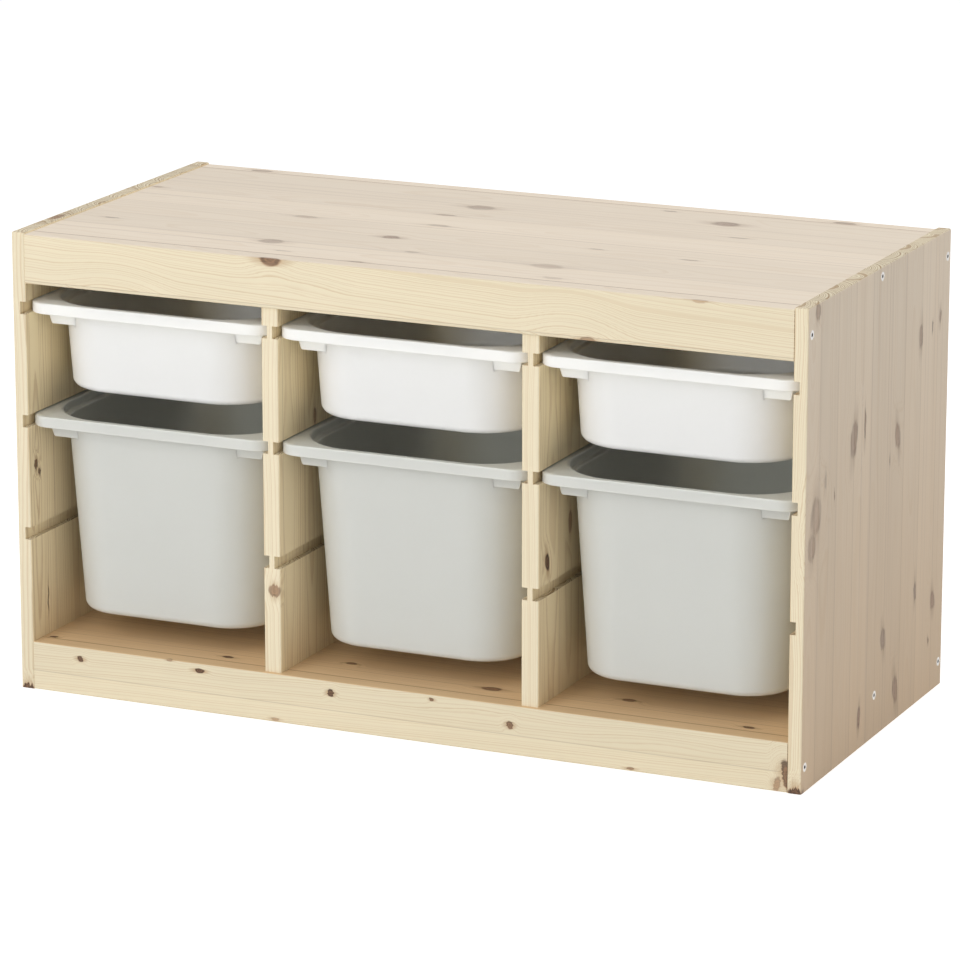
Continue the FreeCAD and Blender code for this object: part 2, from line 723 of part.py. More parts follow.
doc.recompute()
for item in doc.Objects:
    if "Invalid" in item.State or "Error" in item.State:
        raise RuntimeError(f"{item.Label} failed: {item.State}")
for label, node in nodes.items():
    shape = node.Shape
    if shape.isNull() or not shape.isValid():
        raise RuntimeError(f"{label} has no valid shape")
os.makedirs("parts", exist_ok=True)
for label, node in nodes.items():
    node.Shape.exportStep(f"parts/{label}.step")
    print(label, len(node.Shape.Solids), round(node.Shape.Volume / 1000, 1), "cm3")
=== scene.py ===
"""Looks for a pine storage frame with six moulded bins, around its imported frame."""
import math
from collections import namedtuple
from functools import partial

import bmesh
import bpy
import numpy as np
from bpy.props import FloatProperty, FloatVectorProperty, PointerProperty
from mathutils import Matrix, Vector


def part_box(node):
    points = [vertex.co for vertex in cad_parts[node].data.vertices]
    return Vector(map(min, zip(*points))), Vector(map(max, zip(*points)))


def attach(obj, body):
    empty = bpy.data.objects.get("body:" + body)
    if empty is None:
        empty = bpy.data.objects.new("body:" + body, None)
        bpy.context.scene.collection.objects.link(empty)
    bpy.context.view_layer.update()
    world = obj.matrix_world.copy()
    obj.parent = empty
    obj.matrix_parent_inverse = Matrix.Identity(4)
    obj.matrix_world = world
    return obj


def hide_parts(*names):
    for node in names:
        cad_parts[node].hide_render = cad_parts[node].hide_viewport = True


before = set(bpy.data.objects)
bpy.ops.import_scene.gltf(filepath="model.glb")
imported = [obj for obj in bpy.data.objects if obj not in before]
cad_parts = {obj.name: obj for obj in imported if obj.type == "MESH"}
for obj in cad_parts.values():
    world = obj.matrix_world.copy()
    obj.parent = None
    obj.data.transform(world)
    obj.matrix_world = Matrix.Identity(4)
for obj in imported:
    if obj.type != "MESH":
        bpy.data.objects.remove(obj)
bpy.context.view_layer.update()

bl_info = {
    "name": "Pine storage frame with bins",
    "version": (1, 0, 0),
    "blender": (4, 5, 0),
    "location": "3D View > Sidebar > Storage",
    "description": "Lacquered pine boards and satin moulded bins on a packed frame",
    "category": "Object",
}

MM = 0.001
BAYS = ("left", "middle", "right")


def linear(code):
    """Linear RGB of an sRGB hex colour, with alpha 1: the power curve above the toe, a
    straight line in it."""
    value = np.array([int(code[place:place + 2], 16) for place in (1, 3, 5)]) / 255
    curve = ((value + 0.055) / 1.055) ** 2.4
    return (*np.where(value <= 0.04045, value / 12.92, curve).tolist(), 1.0)


def colour(name, description, code):
    """Colour property whose default is a hex colour."""
    return FloatVectorProperty(name=name, description=description, default=linear(code),
                               subtype="COLOR", size=4, min=0, max=1)


def length(name, description, millimetres):
    """Length property whose default is in millimetres."""
    return FloatProperty(name=name, description=description, default=millimetres * MM,
                         min=0, unit="LENGTH", precision=4)


class BinSizes(bpy.types.PropertyGroup):
    """Sizes of the moulded bins; their overall box comes from the frame."""
    rim_height: length("Rim height", "Height of the turned-down lip", 12.2)
    rim_corner: length("Rim corner", "Plan radius of the rim's corners", 26)
    rim_plate: length("Rim plate", "Thickness of the flat rim", 2.5)
    lip_wall: length("Lip wall", "Thickness of the turned-down lip", 2.2)
    mouth_side: length("Mouth side", "From the rim's side edge to the mouth", 12)
    mouth_end: length("Mouth end", "From the rim's front edge to the mouth", 8)
    mouth_corner: length("Mouth corner", "Plan radius of the mouth's corners", 74)
    shoulder: length("Shoulder depth", "Depth of the ledge inside the mouth", 9)
    body_side: length("Body side", "From the rim's side edge to the body", 16.6)
    body_end: length("Body end", "From the rim's front edge to the body", 12.9)
    body_corner: length("Body corner", "Plan radius of the body's corners", 69.5)
    wall: length("Wall", "Thickness of the body's wall", 2.5)
    bottom_round: length("Bottom rounding", "Radius along the outer bottom edge", 8)
    edge_round: length("Edge rounding", "Radius along the rim's top edges", 1.7)
    web_setback: length("Web setback", "From the rim's front edge to the web's face", 22)
    web_thickness: length("Web thickness", "Thickness of the web under the rim", 3)
    web_drop: length("Web drop", "From the rim's top to the web's lower edge", 27.5)
    taper: FloatProperty(name="Taper", description="Inward slope of the walls",
                         default=0.07, min=0, max=0.3)


class Finishes(bpy.types.PropertyGroup):
    """Colours of the wood, the plastics and the metal."""
    sapwood: colour("Edges", "Pale wood on rails and edges", "#E6DABE")
    # Painted light: the outer faces' colour, used on tops, is lighter than the ends' colour below
    # it. This is partly the stained wood's own tone, partly painted light on the top and painted
    # shade on the ends.
    stained: colour("Outer faces", "Pale pinkish wood on the top", "#EFE1CE")
    ends: colour("Ends", "Pinkish wood on the two ends", "#E6D6C1")
    # Painted shade: this darker colour is blended into the ends' outer faces towards the bottom.
    low_shade_colour: colour("Low ends", "Darker wood low down on the ends", "#D4BC9F")
    # The inner faces' colour is the wood's own tone warmed with painted bounce light from the
    # boards round them.
    warm: colour("Inner faces", "Warmer wood on the uprights' inner faces", "#F6E3BC")
    # The shelf's colour, also on the bottom rail's top, is the wood's own tone warmed with painted
    # bounce light.
    golden: colour("Shelf", "Orange wood of the bottom board", "#E9C89C")
    latewood: colour("Latewood", "Dark part of each growth ring", "#C7A67C")
    streak: colour("Streaks", "Greyish lines in the outer faces", "#A58F82")
    knot: colour("Knot", "Heart of a knot", "#A87C5C")
    bark: colour("Knot edge", "Dark ring round a knot", "#49352A")
    greyed: colour("Greyed knot", "Knot in an outer face", "#97847A")
    white: colour("White plastic", "Shallow bins", "#FEFEF3")
    grey: colour("Grey plastic", "Deep bins", "#D1D2CD")
    zinc: colour("Zinc", "Plated screws", "#D8D6D2")
    shade: colour("Drive", "Shaded drive of a screw", "#3C3632")
    beech: colour("Beech", "Dowels", "#C9A27A")
    ring_spacing: length("Ring spacing", "Distance between growth rings", 3.1)


class Studio(bpy.types.PropertyGroup):
    """Floor and light."""
    floor: colour("Floor", "Pale floor", "#FAFAFA")
    ambient: FloatProperty(name="Ambient", description="Strength of the light from all round",
                           default=0.47, min=0)
    key: FloatProperty(name="Key light", description="Power of the soft light in front, in watts",
                       default=56, min=0)


# ---------------------------------------------------------------- materials

def add_node(tree, kind, inputs=(), out=0, **settings):
    """Add a shader node and give back one of its outputs, or the node where out is None.

    Inputs are values or sockets to link from, in the node's order, or a dict by number or
    name. Settings are the node's own fields."""
    node = tree.nodes.new("ShaderNode" + kind)
    for field, value in settings.items():
        setattr(node, field, value)
    for key, value in dict(inputs if isinstance(inputs, dict) else enumerate(inputs)).items():
        if isinstance(value, bpy.types.NodeSocket):
            tree.links.new(value, node.inputs[key])
        else:
            node.inputs[key].default_value = value
    return node if out is None else node.outputs[out]


SMOOTH = {"interpolation_type": "SMOOTHSTEP"}
TIMES, PLUS, LESS, BOTH = ({"operation": name}
                           for name in ("MULTIPLY", "ADD", "SUBTRACT", "MULTIPLY_ADD"))
# a Mix node's sockets for colours have the same names as its others, so they go by number
SHARE, UNDER, OVER = 0, 6, 7
COLOURS = {"out": 2, "data_type": "RGBA"}


def new_material(name, **fixed):
    """Empty material, its node maker, its shader with the fixed values set, and the object's
    place in millimetres."""
    material = bpy.data.materials.new(name)
    material.use_nodes = True
    tree = material.node_tree
    tree.nodes.clear()
    add = partial(add_node, tree)
    values = {key.replace("_", " "): value for key, value in fixed.items()}
    shader = add("BsdfPrincipled", values, None)
    add("OutputMaterial", (shader.outputs[0],), None)
    place = add("TexCoord", (), "Object")
    return material, add, shader, add("VectorMath", {0: place, "Scale": 1 / MM}, operation="SCALE")


def finish_material(material, shader, tone, gloss=None, bump=None):
    """Link what the nodes worked out to the shader."""
    for name, socket in (("Base Color", tone), ("Roughness", gloss), ("Normal", bump)):
        if socket:
            material.node_tree.links.new(socket, shader.inputs[name])
    return material


TOTALS = ("Bulge", "Shade", "Tail", "Rim", "Nearest")
TAIL_SHAPE = (0.42, 0.9, 1.0)    # a knot's tail reaches one over this, along, across and in


def knot_group():
    """One knot: adds its push on the growth rings and its shades to running totals.

    The distance is that of an ellipsoid, 1 on its surface, and the heart is full at the
    distance called solid. The tail is a softer ellipsoid, more than twice as long. The rings
    are pushed aside out to 3.6 times the knot's size. The rim is a dark line at the surface,
    stronger on one side."""
    tree = bpy.data.node_groups.new("knot", "ShaderNodeTree")
    add = partial(add_node, tree)
    for kind, names in (("Vector", ("Vector", "Place", "Lean", "Size")),
                        ("Float", ("Push", "Depth", "Solid") + TOTALS)):
        for name in names:
            tree.interface.new_socket(name, in_out="INPUT", socket_type="NodeSocket" + kind)
    for name in TOTALS:
        tree.interface.new_socket(name, in_out="OUTPUT", socket_type="NodeSocketFloat")
    given = tree.nodes.new("NodeGroupInput").outputs
    placed = add("Mapping", (given["Vector"], given["Place"], given["Lean"], given["Size"]),
                 vector_type="TEXTURE")
    drawn = add("VectorMath", (placed, TAIL_SHAPE), **TIMES)
    distance = add("VectorMath", (placed,), "Value", operation="LENGTH")
    tail = add("VectorMath", (drawn,), "Value", operation="LENGTH")
    swell = add("MapRange", (distance, 3.6, 0.4), **SMOOTH)
    heart = add("MapRange", (distance, 1.12, given["Solid"]), **SMOOTH)
    heart = add("Math", (heart, given["Depth"]), **TIMES)
    fade = add("Math", (add("MapRange", (tail, 1.15, 0.25), **SMOOTH), given["Depth"]), **TIMES)
    one_side = add("MapRange", (add("SeparateXYZ", (placed,), 1), -0.8, 0.7, 0.25, 1.0), **SMOOTH)
    rim = add("Math", (add("MapRange", (distance, 0.5, 0.95), **SMOOTH),
                       add("MapRange", (distance, 1.2, 1.0), **SMOOTH)), **TIMES)
    rim = add("Math", (rim, one_side), **TIMES)
    worked = {
        "Bulge": add("Math", (swell, given["Push"], given["Bulge"]), **BOTH),
        "Shade": add("Math", (heart, given["Shade"]), operation="MAXIMUM"),
        "Tail": add("Math", (fade, given["Tail"]), operation="MAXIMUM"),
        "Rim": add("Math", (rim, given["Rim"]), operation="MAXIMUM"),
        "Nearest": add("Math", (distance, given["Nearest"]), operation="MINIMUM"),
    }
    result = tree.nodes.new("NodeGroupOutput")
    for name, socket in worked.items():
        tree.links.new(socket, result.inputs[name])
    return tree


Knot = namedtuple("Knot", "along across long wide depth lean reach at",
                  defaults=(0.8, 0, 6, None))
Board = namedtuple("Board", ("grain width face seed pith stave slope outer stain wide contrast "
                             "wander solid rough knots"),
                   defaults=(400, 0.0, "", "stained", "sapwood", 0.3, 1.0, 0.8, 1.0, ()))
AXES = {"X": 0, "Y": 1, "Z": 2}

# A knot has its place along and across the grain in the object's own millimetres, half length,
# half width, darkness, lean in degrees, half depth into the wood, and the level of its middle
# where that isn't the board's shown face. One of darkness 0 only bends the rings.
# A board has its grain and width axes, its shown face, a seed for its pattern, the distance
# from that face to the heart of the tree, the width of the strips it is glued from, the slope
# of its grain, its outer face and that face's colour, the colour of its other wide faces, the
# strength of its rings, how much these wander, and how solid and how rough its knots are.
# The outer colour holds painted light on tops and painted shade on the ends, and warmed inner
# faces hold painted bounce light.
BOARDS = {
    "top_front_rail": Board("X", "Z", "-Y", 3, 34, slope=0.05, outer="+Z", contrast=0.33, knots=(
        Knot(-149, 517, 13, 8, 0.85, reach=3), Knot(220, 464, 9, 4, 0.6, reach=4),
        Knot(345, 517, 9, 2, 0.4, reach=3), Knot(-392, 462, 4, 2.5, 0.35),
        Knot(-338, 472, 24, 14, 0.0), Knot(205, 474, 22, 17, 0.0), Knot(-120, 500, 24, 7, 0.0))),
    "bottom_front_rail": Board("X", "Z", "-Y", 11, 40, slope=-0.03, outer="+Z", stain="golden",
                               contrast=0.34, knots=(
        Knot(-390, 42, 4, 4, 0.95), Knot(-241, 47, 6, 3, 0.97), Knot(-278, 54, 4, 1.5, 0.6),
        Knot(-81, 42, 4, 4.5, 0.95), Knot(40, 50, 3, 2, 0.85), Knot(-148, 3, 5, 2, 0.5),
        Knot(132, 33, 4, 5, 0.85), Knot(272, 3, 5, 2, 0.7), Knot(449, 19, 6, 18, 0.85, 10),
        Knot(438, 8, 4, 9, 0.6, -12), Knot(90, 52, 34, 6, 0.0), Knot(300, 40, 30, 5, 0.0))),
    "top_back_rail": Board("X", "Z", "+Y", 17, 36, slope=0.03, outer="+Z", knots=(
        Knot(-374, 518, 14, 3, 0.6, at=207), Knot(346, 518, 14, 3, 0.7, at=205),
        Knot(60, 490, 7, 5, 0.7))),
    "bottom_back_rail": Board("X", "Z", "+Y", 23, 30, slope=-0.04, knots=(
        Knot(-250, 30, 7, 5, 0.8), Knot(180, 18, 6, 4, 0.7))),
    "top_panel": Board("X", "Y", "+Z", 5, 42, 66, outer="+Z", wide="warm", solid=0.7, rough=1.8,
                       knots=(
        Knot(-440, 75, 8.5, 4, 0.55), Knot(-405, -100, 9.5, 3, 0.65),
        Knot(-187, -141, 14.5, 10.5, 0.6), Knot(-154, -180, 9.5, 3, 0.4),
        Knot(-212, -9, 15.5, 6.5, 0.4), Knot(-78, -68, 11, 8, 0.8),
        Knot(-24, -129, 8.5, 3, 0.45), Knot(-56, 9, 14.5, 5, 0.45),
        Knot(-74, 65, 14.5, 4.5, 0.5), Knot(-55, 118, 18, 11.5, 0.6),
        Knot(229, 147, 17, 11.5, 0.75), Knot(267, 84, 12, 3, 0.5),
        Knot(152, -34, 8.5, 2.5, 0.7), Knot(136, -135, 20.5, 10.5, 0.35),
        Knot(165, -185, 12, 5, 0.3), Knot(263, -44, 9.5, 2.5, 0.6),
        Knot(-57, -197, 9.5, 2.5, 0.8), Knot(146, 187, 8.5, 2.5, 0.6))),
    "bottom_panel": Board("X", "Y", "+Z", 29, 38, 66, wide="golden", wander=0.3, knots=(
        Knot(-437, -194, 5, 3, 0.95), Knot(-224, -184, 7, 4, 0.95), Knot(-89, -150, 7, 4, 0.8),
        Knot(90, -173, 12, 7, 0.8), Knot(131, -206, 5, 2, 0.8), Knot(241, -150, 9, 5, 0.8),
        Knot(393, -187, 7, 4, 0.9), Knot(-300, -60, 8, 5, 0.7), Knot(330, 40, 8, 5, 0.7))),
    "side_panel_right": Board("Z", "Y", "+X", 7, 30, 52, outer="+X", stain="ends", wide="warm",
                              contrast=0.4, solid=0.75, rough=2.4, knots=(
        Knot(511, -194, 9, 8.5, 0.75, 4), Knot(428, 189, 8, 5.5, 0.7),
        Knot(418, 127, 15, 7, 0.75, 3), Knot(421, 165, 6, 2, 0.85),
        Knot(350, -79, 20, 11, 0.75, 10), Knot(360, -46, 16, 3, 0.85),
        Knot(322, 59, 16, 8.5, 0.75, -12), Knot(300, 35, 5, 2, 0.95),
        Knot(325, -164, 9, 4, 0.4), Knot(302, -136, 5, 2, 0.9),
        Knot(262, -201, 16, 12.5, 0.6), Knot(131, 125, 12, 4, 0.95),
        Knot(105, 184, 11, 8.5, 0.85, -6), Knot(104, 24, 13, 8.5, 0.7, -10),
        Knot(62, 173, 4, 3, 0.85), Knot(34, 67, 17, 8.5, 0.85, -12),
        Knot(36, -48, 12, 5.5, 0.95, 3), Knot(293, -190, 22, 15.5, 0.55),
        Knot(0, -217, 8, 11, 0.95, reach=9, at=458))),
    "side_panel_left": Board("Z", "Y", "-X", 41, 30, 52, outer="-X", stain="ends", wide="warm",
                             contrast=0.4, solid=0.75, rough=2.4, knots=(
        Knot(520, -130, 3, 17, 0.75, at=-457), Knot(0, -217, 7, 8, 0.95, reach=9, at=-457),
        Knot(256, -205, 6, 4, 0.9, at=-449), Knot(246, -198, 4, 3, 0.9, at=-449),
        Knot(96, -184, 14, 1.5, 0.95, at=-449), Knot(380, 60, 16, 6, 0.7),
        Knot(210, 130, 18, 6, 0.7, 10), Knot(330, -60, 12, 5, 0.6, -8),
        Knot(60, 40, 14, 6, 0.7), Knot(440, -150, 9, 4, 0.7), Knot(120, -120, 10, 3, 0.7))),
    "divider_left": Board("Z", "Y", "+X", 53, 32, 52, wide="warm", contrast=0.35, knots=(
        Knot(148, -215, 8, 5, 0.7, 15, 8, -150), Knot(325, -127, 10, 4, 0.6),
        Knot(240, 60, 12, 5, 0.6), Knot(230, -70, 10, 5, 0.7, at=-163))),
    "divider_right": Board("Z", "Y", "+X", 61, 28, 52, wide="warm", contrast=0.35, knots=(
        Knot(210, -192, 11, 6, 0.95, -12), Knot(240, -131, 13, 5, 0.6),
        Knot(400, 40, 12, 5, 0.6), Knot(300, -90, 10, 5, 0.7, at=143))),
}


# Noises of the wood: squeeze along the grain, scale per millimetre and detail. Across the
# grain their marks are 33 mm (the rings' sway), 4.5 mm (ripples in them), 2.2 mm (a knot's
# ragged outline), 0.9 mm (fibres, drawn three times as coarse as real ones) and 6 mm (grey
# threads).
WOOD_NOISES = ((0.2, 0.03, 2.0), (0.2, 0.22, 3.0), (0.2, 0.45, 3.0), (0.02, 1.1, 3.0),
               (0.006, 0.16, 3.0))
# Millimetres: how far a knot's outline wanders along and across, how far the strips' piths
# lie apart, how far a pith line wanders, how far the sway and the ripples move a ring, how
# wide a glue line is on each side, and how wide the dark joint line beside a rail is, widened
# with painted shade.
OUTLINE_REACH = np.array([7.0, 3.5, 0.0])
PITH_SPREAD, PITH_WANDER = 44.0, 22.0
SWAY_REACH, RIPPLE_REACH = 4.4, 0.9
GLUE_LINE, JOINT_SHADE = 0.9, 3.5


def pine_material(name, board, looks, group):
    """Lacquered pine, planed and sanded, glued up from strips.

    Growth rings are cylinders round a pith line that wanders behind the board's shown face,
    so faces show flames and parallel lines and ends show arcs. Each strip has its own pith
    and tone. A knot pushes the rings aside and darkens in its own ellipsoid. The lacquer is
    thin and silky, so the wood shows its own colour with hardly any shine."""
    material, add, shader, millimetres = new_material(
        f"lacquered pine, planed - {name}", IOR=1.48, Specular_IOR_Level=0.25)
    axes = [board.grain, board.width]
    axes.append(next(axis for axis in AXES if axis not in axes))
    parts = add("SeparateXYZ", (millimetres,), None).outputs
    along, across, through = (parts[AXES[axis]] for axis in axes)
    vector = add("CombineXYZ", (along, across, through))
    low, high = (np.array(corner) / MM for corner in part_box(name))
    shown = float((high if board.face[0] == "+" else low)[AXES[board.face[1]]])
    inwards = 1.0 if board.face[0] == "+" else -1.0

    # the board's seed shifts its pattern to a place of its own
    moved = add("VectorMath", (vector, (board.seed * 137.0, board.seed * 73.0, 0.0)), **PLUS)
    sway, ripple, ragged, fibre, line = (
        add("TexNoise", {"Vector": add("VectorMath", (moved, (squeeze, 1.0, 1.0)), **TIMES),
                         "Scale": scale, "Detail": detail})
        for squeeze, scale, detail in WOOD_NOISES)

    # knots: darkness, soft tail, dark rim, nearest distance and the push on the rings
    push = OUTLINE_REACH * board.rough
    edge = add("VectorMath", (add("CombineXYZ", (ragged, ripple, 0.0)), push.tolist()), **TIMES)
    edge = add("VectorMath", (edge, (push / 2).tolist()), **LESS)
    edge = add("VectorMath", (edge, vector), **PLUS)
    totals = dict.fromkeys(TOTALS, 0.0) | {"Nearest": 9.0}
    for knot in board.knots:
        level = shown if knot.at is None else knot.at
        added = add("Group", {"Vector": edge, "Place": (knot.along, knot.across, level),
                              "Lean": (0, 0, math.radians(knot.lean)),
                              "Size": (knot.long, knot.wide, knot.reach),
                              "Push": knot.wide * 0.9, "Depth": knot.depth,
                              "Solid": board.solid, **totals},
                    None, node_tree=group)
        totals = {key: added.outputs[key] for key in TOTALS}

    # strips: number, place across the strip, and three random numbers for each
    counted = add("Math", (across, 1 / board.stave, 50.5 + board.seed % 7 / 9), **BOTH)
    strip = add("Math", (counted,), operation="FLOOR")
    inside = add("Math", (add("Math", (counted, strip), **LESS), board.stave, -board.stave / 2),
                 **BOTH)
    chance = add("TexWhiteNoise", {"W": add("Math", (strip, float(board.seed)), **PLUS)},
                 "Color", noise_dimensions="1D")
    dice = add("SeparateColor", (chance,), None).outputs

    # distance from the pith line, which wanders over about 220 mm along the grain
    slow = add("CombineXYZ", (along, add("Math", (strip, 999.0), **TIMES), float(board.seed)))
    wander = add("TexNoise", {"Vector": slow, "Scale": 0.0045, "Detail": 1.0})
    depth = board.pith * 0.6 - inwards * shown - PITH_WANDER / 2
    depth = add("Math", (through, inwards, depth), **BOTH)
    depth = add("Math", (dice[0], board.pith * 0.8, depth), **BOTH)
    depth = add("Math", (wander, PITH_WANDER * board.wander, depth), **BOTH)
    side = add("Math", (along, board.slope, inside), **BOTH)
    side = add("Math", (side, PITH_SPREAD / 2), **LESS)
    side = add("Math", (dice[1], PITH_SPREAD, side), **BOTH)
    radius = add("VectorMath", (add("CombineXYZ", (side, depth)),), "Value", operation="LENGTH")
    radius = add("Math", (sway, SWAY_REACH * board.wander, radius), **BOTH)
    radius = add("Math", (ripple, RIPPLE_REACH, radius), **BOTH)
    radius = add("Math", (radius, totals["Bulge"]), **PLUS)

    # growth rings: spacing uneven over about 9 mm, each ring with its own strength, dark from
    # two fifths of its width on, and sharp on its outer side
    uneven = add("TexNoise", {"W": add("Math", (radius, board.seed * 31.0), **PLUS),
                              "Scale": 0.11, "Detail": 1.0}, noise_dimensions="1D")
    rings = add("Math", (radius, MM / looks.ring_spacing, add("Math", (uneven, 3.0), **TIMES)),
                **BOTH)
    phase = add("Math", (rings,), operation="FRACT")
    late = add("Math", (add("MapRange", (phase, 0.4, 0.9), **SMOOTH),
                        add("MapRange", (phase, 1.0, 0.93), **SMOOTH)), **TIMES)
    share = add("TexWhiteNoise", {"W": add("Math", (rings,), operation="FLOOR")},
                noise_dimensions="1D")
    late = add("Math", (late, add("MapRange", (share, 0.0, 1.0, 0.45, 1.35))), **TIMES)

    # which way the surface faces: outer, wide or end
    facing = add("SeparateXYZ", (add("TexCoord", (), "Normal"),), None).outputs
    flat, end = (add("MapRange", (add("Math", (facing[AXES[axis]],), operation="ABSOLUTE"),
                                  0.6, 0.9), **SMOOTH) for axis in (axes[2], axes[0]))
    outer = 0.0
    if board.outer:
        sign = 1.0 if board.outer[0] == "+" else -1.0
        outer = add("MapRange", (facing[AXES[board.outer[1]]], 0.6 * sign, 0.9 * sign), **SMOOTH)
    bare = add("Math", (1.0, outer), **LESS)

    # base tones of the faces; an upright's outer face gets darker downwards, painted shade, and
    # inner faces and the shelf are warmed with painted bounce light
    # painted shade: share of the darker low colour, growing towards the bottom of an upright
    low_shade = add("MapRange", (along, 480.0, 20.0)) if board.grain == "Z" else 0.0
    stained = add("Mix", {SHARE: low_shade, UNDER: getattr(looks, board.stain),
                          OVER: looks.low_shade_colour}, **COLOURS)
    wood = add("Mix", {SHARE: flat, UNDER: looks.sapwood, OVER: getattr(looks, board.wide)},
               **COLOURS)
    wood = add("Mix", {SHARE: outer, UNDER: wood, OVER: stained}, **COLOURS)

    # rings, fibres, strips of different tone, and grey threads in the outer faces
    strength = add("MapRange", (dice[1], 0.0, 1.0, board.contrast * 0.8, board.contrast * 1.3))
    strength = add("Math", (end, 0.55, strength), **BOTH)
    strength = add("Math", (strength, add("MapRange", (outer, 0.0, 1.0, 1.0, 0.33))), **TIMES)
    strength = add("Math", (late, strength), **TIMES)
    wood = add("Mix", {SHARE: strength, UNDER: wood, OVER: looks.latewood}, **COLOURS)
    hatch = add("Math", (add("Math", (late, 0.35), **TIMES), end), **TIMES)
    wood = add("Mix", {SHARE: hatch, UNDER: wood, OVER: looks.bark}, **COLOURS)
    thread = add("Math", (add("MapRange", (line, 0.56, 0.85, 0.0, 0.4), **SMOOTH), outer), **TIMES)
    wood = add("Mix", {SHARE: thread, UNDER: wood, OVER: looks.streak}, **COLOURS)
    tone = add("MapRange", (dice[2], 0.0, 1.0, 0.86, 0.94))
    tone = add("Math", (sway, 0.08, tone), **BOTH)
    tone = add("Math", (fibre, 0.08, tone), **BOTH)
    wood = add("VectorMath", {0: wood, "Scale": tone}, operation="SCALE")

    # glue lines between strips, and the joint where a rail lies against a board: a dark joint line
    # widened with painted shade
    gap = add("Math", (inside,), operation="ABSOLUTE")
    middle = board.stave / 2
    glue_and_joint_shade = add("MapRange", (gap, middle - GLUE_LINE, middle - 0.1, 0.0, 0.3), **SMOOTH)
    if axes[2] == "Z":
        rail = abs(float(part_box("top_front_rail")[1][1])) / MM
        gap = add("Math", (across,), operation="ABSOLUTE")
        # painted shade in the joint beside a rail, 3.5 mm wide
        joint = add("MapRange", (gap, rail - JOINT_SHADE, rail - 0.5, 0.0, 0.7), **SMOOTH)
        glue_and_joint_shade = add("Math", (glue_and_joint_shade, joint), operation="MAXIMUM")
    wood = add("Mix", {SHARE: glue_and_joint_shade, UNDER: wood, OVER: looks.streak}, **COLOURS,
               blend_type="MULTIPLY")

    # knots: soft tail, orange halo, then the ringed heart with its rim, darker in bare wood;
    # in the outer faces some are greyed, and fibres break them up
    tail = add("Math", (totals["Tail"], add("MapRange", (fibre, 0.2, 0.8, 0.1, 0.75))), **TIMES)
    wood = add("Mix", {SHARE: tail, UNDER: wood, OVER: looks.streak}, **COLOURS,
               blend_type="MULTIPLY")
    halo = add("Math", (add("Math", (totals["Tail"], 0.55), **TIMES), bare), **TIMES)
    wood = add("Mix", {SHARE: halo, UNDER: wood, OVER: looks.latewood}, **COLOURS)
    turns = add("Math", (totals["Nearest"], 15.0, add("Math", (ragged, 9.0), **TIMES)), **BOTH)
    turns = add("Math", (turns,), operation="SINE")
    dark = add("Math", (totals["Shade"], 1.7, -1.0), **BOTH)
    dark = add("Math", (dark, bare), **TIMES)
    dark = add("Math", (turns, 0.14, add("Math", (dark, 0.16), **PLUS)), **BOTH)
    dark = add("Math", (totals["Rim"], 0.65, dark), **BOTH)
    dark = add("Math", (add("MapRange", (fibre, 0.3, 0.7, -0.15, 0.2)), dark), use_clamp=True,
               **PLUS)
    aged = add("Math", (outer, add("MapRange", (sway, 0.4, 0.6, 0.55, 1.0))), **TIMES)
    heart = add("Mix", {SHARE: aged, UNDER: looks.knot, OVER: looks.greyed}, **COLOURS)
    heart = add("Mix", {SHARE: dark, UNDER: heart, OVER: looks.bark}, **COLOURS)
    feather = add("Math", (add("MapRange", (fibre, 0.42, 0.62, 0.45, 0.0)), outer), **TIMES)
    cover = add("Math", (totals["Shade"], add("Math", (1.0, feather), **LESS)), **TIMES)
    wood = add("Mix", {SHARE: cover, UNDER: wood, OVER: heart}, **COLOURS)

    # planing leaves the dark wood standing 0.2 mm proud at most
    relief = add("Math", (fibre, 0.6, late), **BOTH)
    bump = add("Bump", {"Strength": 0.16, "Distance": 0.2 * MM, "Height": relief})
    gloss = add("MapRange", (fibre, 0.0, 1.0, 0.5, 0.62))
    return finish_material(material, shader, wood, gloss, bump)


def plastic_material(name, tone):
    """Polypropylene, injection moulded with a satin grain: soft broad highlights, a little
    light let through the walls, faint flow marks about 50 mm apart and a fine pebble, drawn
    at 0.9 mm where the real one is about 0.3 mm."""
    material, add, shader, millimetres = new_material(
        name, IOR=1.49, Subsurface_Weight=1.0, Subsurface_Radius=(1.0, 1.0, 1.0),
        Subsurface_Scale=6 * MM)
    drawn = add("VectorMath", (millimetres, (1.0, 1.0, 0.4)), **TIMES)
    flow = add("TexNoise", {"Vector": drawn, "Scale": 0.02, "Detail": 3.0})
    pebble = add("TexNoise", {"Vector": millimetres, "Scale": 1 / 0.9, "Detail": 2.0})
    factor = add("MapRange", (flow, 0.0, 1.0, 0.976, 1.0))
    factor = add("Math", (pebble, 0.012, add("Math", (factor, 0.006), **LESS)), **BOTH)
    toned = add("VectorMath", {0: tone[:3], "Scale": factor}, operation="SCALE")
    gloss = add("MapRange", (flow, 0.0, 1.0, 0.36, 0.44))
    bump = add("Bump", {"Strength": 0.12, "Distance": 0.1 * MM, "Height": pebble})
    return finish_material(material, shader, toned, gloss, bump)


